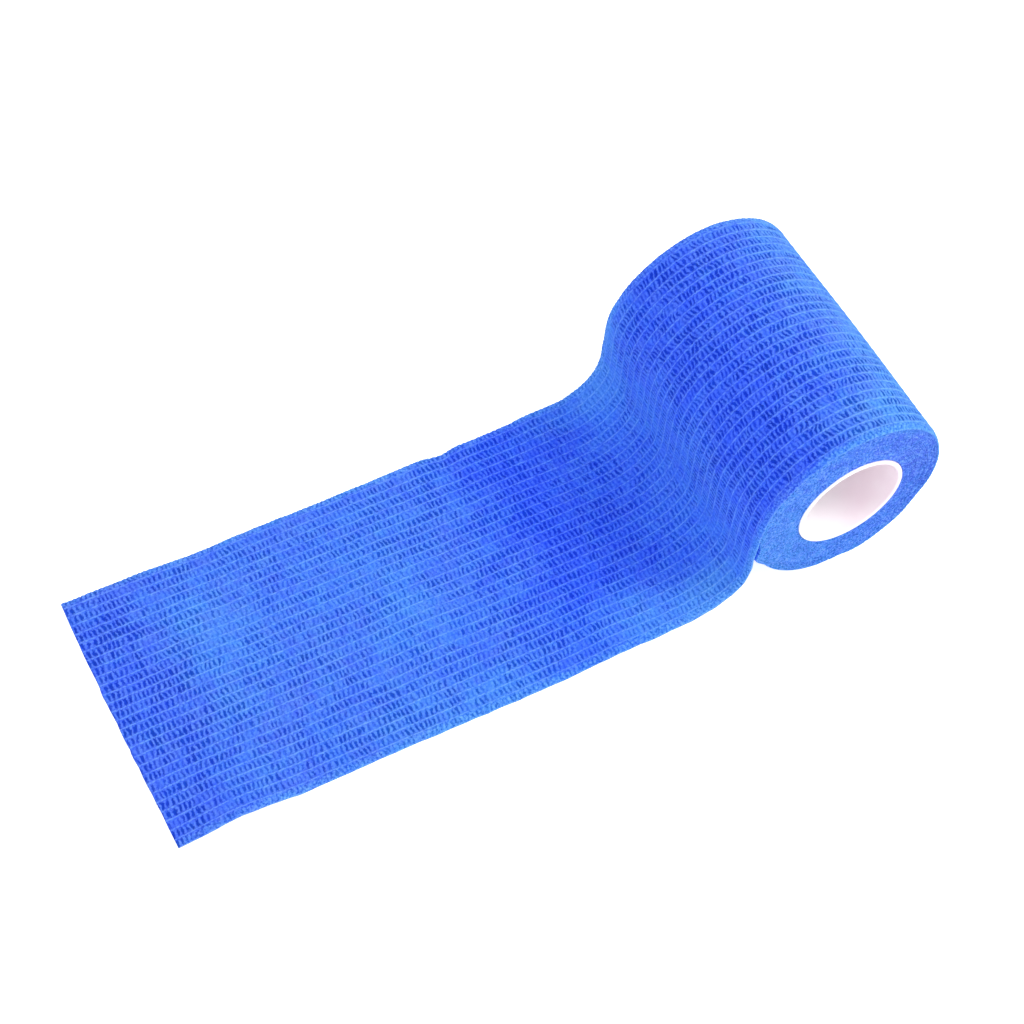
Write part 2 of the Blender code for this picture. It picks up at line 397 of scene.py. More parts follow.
def mesh_from(bm, name):
    mesh = bpy.data.meshes.new(name)
    bm.to_mesh(mesh)
    bm.free()
    mesh.shade_smooth()
    return mesh


def points_of(mesh):
    points = np.empty(len(mesh.vertices) * 3)
    mesh.vertices.foreach_get("co", points)
    return points.reshape(-1, 3)


def set_points(mesh, points):
    """Gives the mesh its points, which are in the roll's frame, at the roll's place."""
    mesh.vertices.foreach_set("co", (points + np.array(ROLL_PLACE)).ravel())
    mesh.update()


def add_value(mesh, name, values):
    layer = mesh.attributes.new(name, "FLOAT", "POINT")
    layer.data.foreach_set("value", np.asarray(values, float))


def add_weave_map(mesh, place, band_place):
    """UV map of the crinkle: puckers counted along the strip, threads counted across it.

    band_place is where each vertex is across the strip, in bands. A face lies in one band, so
    that the puckers of two bands need not meet at the thread between them.
    """
    corner = np.empty(len(mesh.loops), int)
    mesh.loops.foreach_get("vertex_index", corner)
    sizes = np.empty(len(mesh.polygons), int)
    mesh.polygons.foreach_get("loop_total", sizes)
    face = np.repeat(np.arange(len(sizes)), sizes)
    middle = np.bincount(face, band_place[corner]) / sizes
    band = np.clip(np.floor(middle).astype(int), 0, BANDS - 1)[face]
    inside = np.clip(band_place[corner] - band, 0.0, 1.0)
    phase = pucker_phase(place[corner], band, inside)
    layer = mesh.uv_layers.new(name="weave")
    layer.uv.foreach_set("vector", np.stack([phase, band - 1.0 + inside], 1).astype(np.float32).ravel())


class Nodes:
    """A small helper to lay out and link nodes in one tree."""

    def __init__(self, tree):
        self.tree = tree

    def add(self, kind, **settings):
        node = self.tree.nodes.new(kind)
        for name, value in settings.items():
            setattr(node, name, value)
        return node

    def put(self, socket, value):
        if isinstance(value, bpy.types.NodeSocket):
            self.tree.links.new(value, socket)
        else:
            socket.default_value = value

    def math(self, operation, *values, clamp=False):
        node = self.add("ShaderNodeMath", operation=operation, use_clamp=clamp)
        for socket, value in zip(node.inputs, values):
            self.put(socket, value)
        return node.outputs[0]

    def smooth(self, value, low, high, start=0.0, end=1.0):
        """start up to low, end from high on, with a smooth step between."""
        node = self.add("ShaderNodeMapRange", interpolation_type="SMOOTHSTEP")
        for name, given in (("Value", value), ("From Min", low), ("From Max", high)):
            self.put(node.inputs[name], given)
        node.inputs["To Min"].default_value = start
        node.inputs["To Max"].default_value = end
        return node.outputs["Result"]

    def noise(self, vector, scale, detail=2.0, roughness=0.5, output="Fac"):
        node = self.add("ShaderNodeTexNoise")
        self.put(node.inputs["Vector"], vector)
        node.inputs["Scale"].default_value = scale
        node.inputs["Detail"].default_value = detail
        node.inputs["Roughness"].default_value = roughness
        return node.outputs[output]

    def parts(self, vector):
        node = self.add("ShaderNodeSeparateXYZ")
        self.put(node.inputs[0], vector)
        return node.outputs

    def attribute(self, name):
        return self.add("ShaderNodeAttribute", attribute_name=name).outputs["Fac"]

    def own_place(self):
        """Coordinates in the object's own axes."""
        return self.add("ShaderNodeTexCoord").outputs["Object"]

    def off_centre(self, value, reach):
        """How far the value is above or below a half, times reach."""
        return self.math("MULTIPLY", self.math("SUBTRACT", value, 0.5), reach)

    def distance(self, value, other):
        return self.math("ABSOLUTE", self.math("SUBTRACT", value, other))

    def blend(self, share, first, second):
        node = self.add("ShaderNodeMix", data_type="RGBA", blend_type="MIX", clamp_factor=True)
        self.put(node.inputs[0], share)
        self.put(node.inputs[6], first)
        self.put(node.inputs[7], second)
        return node.outputs[2]

    def bump(self, height, distance, strength=1.0):
        node = self.add("ShaderNodeBump")
        node.inputs["Distance"].default_value = distance
        node.inputs["Strength"].default_value = strength
        self.put(node.inputs["Height"], height)
        return node.outputs["Normal"]


def make_group(name, inputs, outputs):
    """An empty shader node group with its sockets, and the sockets to build between."""
    tree = bpy.data.node_groups.new(name, "ShaderNodeTree")
    for socket, kind in inputs:
        tree.interface.new_socket(name=socket, in_out="INPUT", socket_type=kind)
    for socket, kind in outputs:
        tree.interface.new_socket(name=socket, in_out="OUTPUT", socket_type=kind)
    nodes = Nodes(tree)
    start = nodes.add("NodeGroupInput")
    end = nodes.add("NodeGroupOutput")
    return tree, nodes, start.outputs, end.inputs


def make_material(name):
    material = bpy.data.materials.new(name)
    material.use_nodes = True
    shader = material.node_tree.nodes["Principled BSDF"]
    return material, Nodes(material.node_tree), shader.inputs


def place_group(nodes, tree, **values):
    node = nodes.add("ShaderNodeGroup", node_tree=tree)
    for name, value in values.items():
        nodes.put(node.inputs[name.replace("_", " ").capitalize()], value)
    return node.outputs


# ------------------------------------------------------------------ shared effects


def make_fluff_group():
    """Short matted fibres: a fine grain from 0 to 1, and three kinds each of soft mottle and of tufts."""
    tree, nodes, given, result = make_group(
        "matted_fibres",
        [("Place", "NodeSocketVector"), ("Scale", "NodeSocketFloat")],
        [("Mottle", "NodeSocketColor"), ("Grain", "NodeSocketFloat"), ("Tufts", "NodeSocketColor")],
    )
    scaled = nodes.add("ShaderNodeVectorMath", operation="SCALE")
    nodes.put(scaled.inputs[0], given["Place"])
    nodes.put(scaled.inputs["Scale"], given["Scale"])
    at = scaled.outputs[0]
    mottle = nodes.noise(at, scale=0.36, detail=4.0, roughness=0.62, output="Color")
    nodes.put(result["Mottle"], mottle)
    nodes.put(result["Grain"], nodes.noise(at, scale=1.75, detail=3.0, roughness=0.62))
    nodes.put(result["Tufts"], nodes.noise(at, scale=1.15, detail=2.0, roughness=0.6, output="Color"))
    return tree


# How far the tufts of fibre push the puckers about: along the strip, in breadth and in length,
# and how far they push the threads
TUFT_SHIFT = 0.62
TUFT_WIDEN = 0.64
TUFT_LENGTHEN = 0.8
TUFT_SWAY = 0.20
STRONG = 0.8  # puckers weaker than this are narrower, by a share of what they lack
NARROWING = 0.12


def make_crinkle_group():
    """Puckers and elastic threads, read from the weave map."""
    tree, nodes, given, result = make_group(
        "crinkled_weave",
        [
            ("Phase", "NodeSocketFloat"),
            ("Across", "NodeSocketFloat"),
            ("Strength", "NodeSocketFloat"),
            ("Unevenness", "NodeSocketColor"),
        ],
        [
            ("Pucker", "NodeSocketFloat"),
            ("Ridge", "NodeSocketFloat"),
            ("Thread", "NodeSocketFloat"),
        ],
    )
    uneven = nodes.parts(given["Unevenness"])
    strength = given["Strength"]

    # how far a place is from the nearest pucker, and the length of that pucker between its threads
    shifted = nodes.math("ADD", given["Phase"], nodes.off_centre(uneven[0], TUFT_SHIFT))
    away = nodes.distance(nodes.math("FRACT", nodes.math("ADD", shifted, 0.5)), 0.5)
    away = nodes.math("ADD", away, nodes.off_centre(uneven[2], TUFT_WIDEN))
    lack = nodes.math("SUBTRACT", STRONG, strength)
    away = nodes.math("ADD", away, nodes.math("MULTIPLY", lack, NARROWING))
    inside = nodes.math("FRACT", given["Across"])
    leaning = nodes.math("ADD", inside, nodes.off_centre(uneven[1], TUFT_LENGTHEN))
    length = nodes.smooth(nodes.distance(leaning, 0.5), 0.22, 0.40, start=1.0, end=0.0)
    dash = nodes.math("MULTIPLY", nodes.smooth(away, 0.09, 0.28, start=1.0, end=0.0), length)
    nodes.put(result["Pucker"], nodes.math("MULTIPLY", dash, strength, clamp=True))
    ridge = nodes.math("MULTIPLY", nodes.smooth(away, 0.27, 0.44), length)
    nodes.put(result["Ridge"], nodes.math("MULTIPLY", ridge, strength, clamp=True))

    # the threads, fainter where the cloth is hardly gathered
    wavy = nodes.math("ADD", inside, nodes.off_centre(uneven[1], TUFT_SWAY))
    from_thread = nodes.math("SUBTRACT", 0.5, nodes.distance(wavy, 0.5))
    thread = nodes.smooth(from_thread, 0.035, 0.100, start=1.0, end=0.0)
    clear = nodes.smooth(strength, 0.3, 0.8, start=0.60, end=1.0)
    nodes.put(result["Thread"], nodes.math("MULTIPLY", thread, clear))
    return tree


# ------------------------------------------------------------------ materials

# Each finish comes in a deep copy and a pale copy, for painted shade and painted light,
# and either of them from plain blue to a greener blue.
CLOTH_BLUES = (
    (0.021, 0.084, 0.850, 1.0),  # deep
    (0.034, 0.152, 0.900, 1.0),  # deep and greener
    (0.078, 0.168, 0.725, 1.0),  # pale
    (0.064, 0.248, 0.795, 1.0),  # pale and greener
)
# Painted shade in the pucker valleys, on top of their real relief, in the same four copies
PUCKER_BLUES = (
    (0.002, 0.034, 0.620, 1.0),
    (0.004, 0.072, 0.670, 1.0),
    (0.008, 0.054, 0.450, 1.0),
    (0.009, 0.104, 0.500, 1.0),
)
THREAD_BLUES = (
    (0.090, 0.205, 0.960, 1.0),
    (0.094, 0.270, 0.980, 1.0),
    (0.158, 0.330, 0.900, 1.0),
    (0.150, 0.390, 0.900, 1.0),
)
SHEEN_BLUE = (0.40, 0.70, 1.0, 1.0)


def finish_as_cloth(shader):
    """The dull, slightly fuzzy gloss that the strip and its edges share."""
    shader["Sheen Weight"].default_value = 0.12
    shader["Sheen Roughness"].default_value = 0.45
    shader["Sheen Tint"].default_value = SHEEN_BLUE
    shader["Specular IOR Level"].default_value = 0.15


WEAVE_SCALE = 1000.0  # scale of the matted fibres on the strip
MOTTLED_TONE = 1.1  # how far the mottle shifts the tone, and the green
MOTTLED_GREEN = 1.6
MATTED_FACE = 0.44  # how much the matted fibres hide, on the strip's face and at its edges
MATTED_EDGE = 0.95
MATTED_WITHIN = 0.25  # share of a selvedge in which the matting grows
RIDGE_PAINTED_LIGHT = 0.40
THREAD_HEIGHT = 0.6  # how much each raises or lowers the surface
PUCKER_HEIGHT = 0.8
FIBRE_HEIGHT = 0.7


def make_cloth(fluff, crinkle):
    """The crinkled strip: blue, with puckers darkened by painted shade, paler elastic threads and a fuzzy
    surface.
    """
    material, nodes, shader = make_material("crinkled_blue_cloth")
    weave = nodes.parts(nodes.add("ShaderNodeUVMap", uv_map="weave").outputs["UV"])
    phase, across = weave[0], weave[1]
    fibres = place_group(nodes, fluff, place=nodes.own_place(), scale=WEAVE_SCALE)
    grain = fibres["Grain"]
    strength = nodes.attribute("pucker")
    marks = place_group(
        nodes, crinkle, phase=phase, across=across, strength=strength, unevenness=fibres["Tufts"]
    )
    mottle = nodes.parts(fibres["Mottle"])
    # The tone and greener attributes carry painted light and painted shade, pale where lit and deep where
    # shaded; the mottle adds uneven tone at random
    tone = nodes.off_centre(mottle[0], MOTTLED_TONE)
    tone = nodes.math("ADD", nodes.attribute("tone"), tone, clamp=True)
    greener = nodes.off_centre(mottle[1], MOTTLED_GREEN)
    greener = nodes.math("ADD", nodes.attribute("greener"), greener, clamp=True)
    colour, pucker, thread = (
        nodes.blend(tone, nodes.blend(greener, *blues[:2]), nodes.blend(greener, *blues[2:]))
        for blues in (CLOTH_BLUES, PUCKER_BLUES, THREAD_BLUES)
    )
    middle = 0.5 * (THREADS - 1)
    matting = nodes.smooth(
        nodes.distance(across, middle), middle, middle + MATTED_WITHIN, start=MATTED_FACE, end=MATTED_EDGE
    )
    pit = nodes.math("MULTIPLY", nodes.smooth(grain, 0.34, 0.52, start=1.0, end=0.0), matting)
    colour = nodes.blend(pit, colour, pucker)
    fleck = nodes.math("MULTIPLY", nodes.smooth(grain, 0.50, 0.68), matting)
    colour = nodes.blend(fleck, colour, thread)
    # painted light on the crests between puckers
    colour = nodes.blend(nodes.math("MULTIPLY", marks["Ridge"], RIDGE_PAINTED_LIGHT), colour, thread)
    # painted shade in the pucker valleys
    colour = nodes.blend(marks["Pucker"], colour, pucker)
    broken = nodes.smooth(grain, 0.36, 0.58, start=0.25, end=1.0)
    colour = nodes.blend(nodes.math("MULTIPLY", marks["Thread"], broken), colour, thread)
    nodes.put(shader["Base Color"], colour)
    nodes.put(shader["Roughness"], nodes.smooth(grain, 0.2, 0.8, start=0.82, end=0.98))
    finish_as_cloth(shader)
    height = nodes.math("MULTIPLY", marks["Thread"], THREAD_HEIGHT)
    height = nodes.math("SUBTRACT", height, nodes.math("MULTIPLY", marks["Pucker"], PUCKER_HEIGHT))
    height = nodes.math("ADD", height, nodes.math("MULTIPLY", grain, FIBRE_HEIGHT))
    nodes.put(shader["Normal"], nodes.bump(height, distance=0.00014, strength=0.9))
    return material


EDGE_BLUE = (0.062, 0.128, 0.760, 1.0)
EDGE_GREENER = (0.056, 0.250, 0.760, 1.0)
EDGE_PIT = (0.007, 0.074, 0.440, 1.0)
EDGE_FLECK = (0.165, 0.340, 0.900, 1.0)
EDGE_SCALE = 950.0  # scale of the matted fibres at the ends of the roll
EDGE_MOTTLED_GREEN = 2.0
GAP_PAINTED_SHADE = 0.22  # how dark the painted shade in the line between two turns is
EDGE_PATCHY = 0.22  # how far the mottle shifts the shares of flecks and pits
EDGE_LUMPS = 0.6  # height of the mottle beside the grain


def make_cloth_edge(fluff):
    """The edges of the wound turns: matted, granular, with painted shade in the line between turns."""
    material, nodes, shader = make_material("matted_cloth_edges")
    fibres = place_group(nodes, fluff, place=nodes.own_place(), scale=EDGE_SCALE)
    grain = fibres["Grain"]
    mottle = nodes.parts(fibres["Mottle"])
    greener = nodes.off_centre(mottle[1], EDGE_MOTTLED_GREEN)
    greener = nodes.math("ADD", nodes.attribute("greener"), greener, clamp=True)
    # greener carries painted light on one side of the roll's ends and at their rim, with mottle at random
    colour = nodes.blend(greener, EDGE_BLUE, EDGE_GREENER)
    # painted shade in the line between turns
    gap = nodes.smooth(nodes.attribute("crest"), 0.0, 0.8, start=1.0, end=0.0)
    colour = nodes.blend(nodes.math("MULTIPLY", gap, GAP_PAINTED_SHADE), colour, EDGE_PIT)
    patchy = nodes.math("ADD", grain, nodes.off_centre(mottle[2], EDGE_PATCHY))
    colour = nodes.blend(nodes.smooth(patchy, 0.50, 0.64, start=0.0, end=0.9), colour, EDGE_FLECK)
    colour = nodes.blend(nodes.smooth(patchy, 0.34, 0.49, start=0.9, end=0.0), colour, EDGE_PIT)
    nodes.put(shader["Base Color"], colour)
    nodes.put(shader["Roughness"], nodes.smooth(grain, 0.2, 0.8, start=0.85, end=0.98))
    finish_as_cloth(shader)
    height = nodes.math("ADD", grain, nodes.math("MULTIPLY", mottle[0], EDGE_LUMPS))
    nodes.put(shader["Normal"], nodes.bump(height, distance=0.00030))
    return material


CORE_WHITE = (0.95, 0.94, 0.95, 1.0)
CORE_LILAC = (0.89, 0.76, 0.83, 1.0)
CORE_GLOW = 0.02  # stands in for light that the thin white wall carries deeper into the bore
LILAC_BEFORE = 0.006  # the lilac grows from this far on one side of the axis
LILAC_PAST = 0.012  # to this far on the other
LILAC_PATCHES = 0.8


def make_core_plastic():
    """Smooth white plastic, a little lilac in faint patches, and lilac on one side, which is painted
    shade.
    """
    material, nodes, shader = make_material("white_core_plastic")
    place = nodes.own_place()
    tone = nodes.noise(place, scale=140.0)
    fine = nodes.noise(place, scale=2600.0)
    # painted shade: lilac on one side of the axis
    side = nodes.smooth(nodes.parts(place)[0], ROLL_PLACE.x - LILAC_BEFORE, ROLL_PLACE.x + LILAC_PAST)
    side = nodes.math("ADD", side, nodes.off_centre(tone, LILAC_PATCHES), clamp=True)
    nodes.put(shader["Base Color"], nodes.blend(side, CORE_WHITE, CORE_LILAC))
    shader["Emission Color"].default_value = CORE_LILAC
    shader["Emission Strength"].default_value = CORE_GLOW
    nodes.put(shader["Roughness"], nodes.smooth(fine, 0.3, 0.7, start=0.32, end=0.46))
    nodes.put(shader["Normal"], nodes.bump(fine, distance=0.00002, strength=0.5))
    return material


def make_floor_paper():
    material, nodes, shader = make_material("pale_floor")
    tone = nodes.noise(nodes.own_place(), scale=3.0)
    nodes.put(shader["Base Color"], nodes.blend(tone, (*WHITE_FLOOR, 1.0), (*DULL_FLOOR, 1.0)))
    shader["Emission Color"].default_value = (*WHITE_FLOOR, 1.0)
    seen = nodes.add("ShaderNodeLightPath").outputs["Is Camera Ray"]
    nodes.put(shader["Emission Strength"], nodes.math("MULTIPLY_ADD", seen, FLOOR_HAZE, FLOOR_GLOW))
    shader["Roughness"].default_value = 0.9
    shader["Specular IOR Level"].default_value = 0.1
    return material


# ------------------------------------------------------------------ the strip

# How pale and how green the strip's blue is, from 0 to 1: painted light and painted shade, such as the
# roll's shadow on the loose end and its lit and shaded sides; and how strongly the cloth is gathered, at
# distances along the strip from its cut end
Shade = namedtuple("Shade", "along pale greener gathered")
SHADES = (
    Shade(0.000, 0.64, 0.00, 0.45),
    Shade(0.0015, 0.54, 0.00, 1.12),
    Shade(0.012, 0.49, 0.00, 1.08),
    Shade(0.028, 0.60, 0.35, 0.88),
    Shade(0.050, 0.62, 0.40, 0.86),
    Shade(0.075, 0.60, 0.50, 0.86),
    Shade(0.094, 0.54, 0.40, 0.92),
    Shade(0.108, 0.29, 0.36, 0.97),
    Shade(0.122, 0.00, 0.06, 1.02),
    Shade(0.140, 0.13, 0.28, 0.82),
    Shade(0.152, 0.26, 0.65, 0.76),
    Shade(0.165, 0.37, 0.65, 0.78),
    Shade(0.174, 0.33, 0.45, 0.94),
    Shade(0.188, 0.18, 0.00, 1.12),
    Shade(0.202, 0.20, 0.00, 1.16),
    Shade(0.216, 0.46, 0.20, 1.12),
    Shade(0.230, 0.90, 0.55, 0.95),
    Shade(0.240, 1.05, 0.80, 0.85),
    Shade(0.249, 1.10, 1.00, 0.70),
    Shade(0.310, 0.80, 1.00, 0.90),
)

# Patches of painted light, paler and greener than what is round them, by distance from the cut end and
# from the near edge
Patch = namedtuple("Patch", "name along y half_length half_breadth pale greener gathered")
PAINTED_LIGHT_PATCHES = (
    Patch("end patch", 0.0310, 0.048, 0.020, 0.030, 0.20, 0.40, -0.15),
    Patch("middle patch", 0.0770, 0.036, 0.015, 0.036, 0.05, 0.36, -0.06),
    Patch("near side", 0.0900, 0.004, 0.030, 0.012, 0.10, 0.50, 0.00),
    Patch("near patch", 0.1290, 0.006, 0.022, 0.018, 0.62, 0.80, -0.20),
    Patch("notch patch", 0.1480, 0.002, 0.015, 0.013, 0.70, 0.70, -0.25),
    Patch("far patch", 0.1390, 0.073, 0.016, 0.011, 0.30, 0.50, -0.10),
    Patch("far rise", 0.1560, 0.071, 0.013, 0.013, 0.50, 0.90, -0.30),
    Patch("far roll edge", 0.1740, 0.074, 0.018, 0.008, 0.40, 0.80, -0.35),
    Patch("end corner", 0.0060, 0.066, 0.016, 0.016, 0.04, 0.00, 0.00),
    Patch("parting edge", 0.1660, 0.000, 0.016, 0.003, 0.60, 0.70, -0.30),
    Patch("near crown", 0.2240, 0.006, 0.028, 0.012, 0.38, 0.42, 0.00),
)
# Painted sheen: the selvedges are paler and greener
SELVEDGE_PALE = 0.30
SELVEDGE_GREENER = 0.40
SELVEDGE_SHEEN_WITHIN = 0.6  # share of a selvedge in which its painted sheen grows
SELVEDGE_GATHERED = 0.65  # how strongly it is gathered where the strip lies loose
RIM_GATHERED = 0.35  # and at the rim of the roll
RIM_FROM = (0.150, 0.175)
PALEST = 1.15


def patch_reach(patch, along, y):
    """1 in the middle of a patch, falling to 0 round it."""
    return hill(along - patch.along, patch.half_length) * hill(y - patch.y, patch.half_breadth)


def gathered_at(along, y, band):
    """How strongly the cloth is gathered: less over the fold, and hardly at the roll's matted rims."""
    stops, _, _, gathered = zip(*SHADES)
    gathered = np.interp(along, stops, gathered)
    gathered = gathered + sum(patch.gathered * patch_reach(patch, along, y) for patch in PAINTED_LIGHT_PATCHES)
    selvedge = (band == 0) | (band == BANDS - 1)
    share = mix(SELVEDGE_GATHERED, RIM_GATHERED, ease(along, *RIM_FROM))
    return gathered * np.where(selvedge, share, 1.0)


def painted_light_and_tone_at(along, y, band, inside):
    """Painted light and shade on the strip's blue, as how pale and how green it is, from its cut end on
    and from edge to edge, with uneven tone at random.
    """
    stops, pale, greener, _ = zip(*SHADES)
    pale = np.interp(along, stops, pale)
    greener = np.interp(along, stops, greener)
    for patch in PAINTED_LIGHT_PATCHES:
        reach = patch_reach(patch, along, y)
        pale = pale + patch.pale * reach
        greener = greener + patch.greener * reach
    edge = ease(np.abs(edge_share(band, inside)), 0.0, SELVEDGE_SHEEN_WITHIN)
    pale = pale + SELVEDGE_PALE * edge + uneven_at(PALER, along, y)
    greener = greener + SELVEDGE_GREENER * edge + uneven_at(GREENER, y, along)
    return np.clip(pale, 0.0, PALEST), np.clip(greener, 0.0, 1.0)


def strip_slab():
    """A closed slab with a fine upper face and a coarse lower one, one unit long and wide."""
    bm = bmesh.new()
    bmesh.ops.create_grid(bm, x_segments=ROWS, y_segments=COLUMNS, size=0.5)
    bmesh.ops.create_grid(
        bm,
        x_segments=ROWS // UNDERSIDE_RATIO,
        y_segments=COLUMNS // UNDERSIDE_RATIO,
        size=0.5,
        matrix=Matrix.Translation((0.0, 0.0, -1.0)),
    )
    bmesh.ops.bridge_loops(bm, edges=[edge for edge in bm.edges if edge.is_boundary])
    bmesh.ops.recalc_face_normals(bm, faces=bm.faces)
    return mesh_from(bm, "bandage_strip")


LOOSE_X = (-0.0262, -0.0420)  # the strip thickens from wound to loose between these places,
LOOSE_Z = (0.010, 0.022)  # but not above these heights
BEHIND_ROLL = -0.02  # the swells are past this place
FRAY_FROM = 0.992  # share of the strip's length at which its end starts to fray
EDGE_NIP = 0.00006  # how far a pucker draws the strip's edge in
WANDER_SPREAD = 0.25  # below 1, so that the threads wander nearly as much beside the edges


def uneven_side(x, y, place, at_edge, valley):
    """y of each point, with the uneven edges and the wandering threads."""
    across = y / WIDTH
    side = y + edge_shift(x, across)
    side = side + uneven_at(WANDER, place, y) * hill(across - 0.5, 0.5) ** WANDER_SPREAD
    inward = np.sign(at_edge) * at_edge**2
    return side + inward * (EDGE_NIP * valley + uneven_at(ROUGH_EDGE, place, y))


def make_strip(materials):
    """The outer turn and the loose end in one piece, from the flat spot round the roll to the cut end."""
    mesh = strip_slab()
    slab = points_of(mesh)
    row = np.rint((0.5 - slab[:, 0]) * ROWS).astype(int)
    column = np.rint((0.5 + slab[:, 1]) * COLUMNS).astype(int)
    upper = slab[:, 2] > -0.5

    band, inside, column_y = column_places()
    paths = [strip_path(y / WIDTH) for y in column_y]
    place, x, z, out_x, out_z = (np.stack(values, 1)[row, column] for values in zip(*paths))
    band, inside, y = band[column], inside[column], column_y[column]

    length = float(place.max())
    along = length - place
    strength = pucker_strength(place, band, y) * gathered_at(along, y, band)
    valley = pucker_valley(place, band, inside)
    loose = ease(x, *LOOSE_X) * (1.0 - ease(z, *LOOSE_Z))
    thickness = mix(WOUND_CLOTH, CLOTH, loose)
    sunk = np.where(upper, crinkle_depth(band, inside, strength, valley), thickness)
    at_edge = edge_share(band, inside)
    turned = TURNED_EDGE * (1.0 - PARTED_FLAT * hill(along - PARTED_AT, PARTED_REACH))
    sunk = sunk + turned * np.abs(at_edge) ** 3
    end = place / length
    fray = uneven_at(FRAY, y, end) * ease(end, FRAY_FROM, 1.0)
    height = np.maximum(z - out_z * sunk, 0.0) + lift_at(x, y) * (x < BEHIND_ROLL)
    side = uneven_side(x, y, place, at_edge, valley)
    set_points(mesh, np.stack([x - out_x * sunk - fray, side, height], 1))
    add_weave_map(mesh, place, band + inside)
    add_value(mesh, "pucker", strength)
    # tone and greener carry the painted light, painted shade and painted sheen, with uneven tone at
    # random
    pale, greener = painted_light_and_tone_at(along, y, band, inside)
    add_value(mesh, "tone", pale)
    add_value(mesh, "greener", greener)
    strip = make_piece("bandage_strip", mesh, materials)
    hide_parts("loose_end")
    return strip


# ------------------------------------------------------------------ the wound cloth

TURN_NOISE = random_table(31, 2, 256)
TURN_RISE = Stray(TURN_NOISE, 0.00010, 0.37)
FINE_RISE = Stray(TURN_NOISE, 0.00006, 0.031)
FACE_LUMPS = Uneven(random_table(32, 64, 256), 0.00006, 0.0009, 0.0007)
COVER_FLOOR = WOUND_CLOTH + 0.00003  # how low the cloth comes where it rests on the strip
STEP_ANGLE = HIDDEN_START - 0.6  # where the outermost turn under the strip begins
MERGE_WITHIN = 2e-7

# The turn that shows behind the parting keeps the deep tone up to the first angle, painted shade in the
# crease under the parting, and gets paler between these angles past the -X side
BEHIND_PALE = 0.6
BEHIND_FROM = 17.0
BEHIND_TO = 35.0
# Painted light on the ends of the roll: they are less green on one side, and greener towards the rim
FACE_GREENER = 0.50
FACE_LESS_GREEN = 0.28
FACE_LESS_AT = 30.0
RIM_GREENER = 0.35
RIM_GREEN = (0.0240, 0.0268)


def round_radius(past):
    """Outer radius of the wound cloth while it is still round, past degrees on from its outer end."""
    return ROLL_RADIUS - COVERED * (1.0 - ease(past, PARTING - STEP_ANGLE, REBATE_END - STEP_ANGLE))


def settled_share(past, across):
    """How much of its round reach the cloth keeps, with its dents, its flat spot and its fullness."""
    angle = STEP_ANGLE + past
    settled = rim_radius(angle, across) - ROLL_RADIUS + round_radius(past)
    down = np.maximum(-np.sin(np.radians(angle)), 1e-6)
    floor = np.where(past < 90.0, COVER_FLOOR, 0.0)
    settled = np.minimum(settled, (AXIS_HEIGHT - floor) / down)
    at_rim = 1.0 - np.clip(np.minimum(across, 1.0 - across) * WIDTH / SELVEDGE, 0.0, 1.0)
    settled = settled - TURNED_EDGE * at_rim**3
    stays = hill(across, STAYS_BREADTH) * hill(turn_gap(angle, STAYS_ANGLE), STAYS_SPREAD)
    settled = settled - STAYS_DEPTH * stays
    return (settled - INNER_TURN) / (round_radius(past) - INNER_TURN)


def face_points(step, v, line):
    """Points of one end face, still round: steps count along the winding, and v runs across a turn."""
    turn = step / TURN_STEPS
    past = 360.0 * (step % TURN_STEPS) / TURN_STEPS
    fill = mix(np.maximum(turn - 1.0, 0.0), turn, v)
    pitch = (round_radius(past) - INNER_TURN) / (TURNS - 1.0 + past / 360.0)
    radius = INNER_TURN + pitch * fill
    radius = np.where(turn >= TURNS, mix(ROLL_RADIUS - COVERED, ROLL_RADIUS, v), radius)
    angle = np.radians(STEP_ANGLE + past)
    body = np.where(turn >= TURNS, 0.0, np.sin(np.pi * v))
    rise = stray_at(TURN_RISE, line, turn) + stray_at(FINE_RISE, line, turn)
    inset = EDGE_INSET - body * (TURN_CREST + rise + uneven_at(FACE_LUMPS, radius * angle, radius))
    return np.stack([radius * np.cos(angle), inset, AXIS_HEIGHT + radius * np.sin(angle)], 1), body


def add_face(bm, line, crest):
    """One end of the roll, wound as a spiral ribbon whose neighbouring turns share their edges."""
    steps = TURNS * TURN_STEPS
    grid = bmesh.ops.create_grid(bm, x_segments=steps, y_segments=ACROSS_TURN, size=0.5)
    verts = grid["verts"]
    flat = np.array([vert.co[:] for vert in verts])
    step = np.rint((flat[:, 0] + 0.5) * steps)
    v = np.rint((flat[:, 1] + 0.5) * ACROSS_TURN) / ACROSS_TURN
    points, body = face_points(step, v, line)
    if line:
        points[:, 1] = WIDTH - points[:, 1]
    for vert, point, share in zip(verts, points, body):
        vert.co = point
        vert[crest] = share
    for face in bm.faces:
        face.material_index = 1


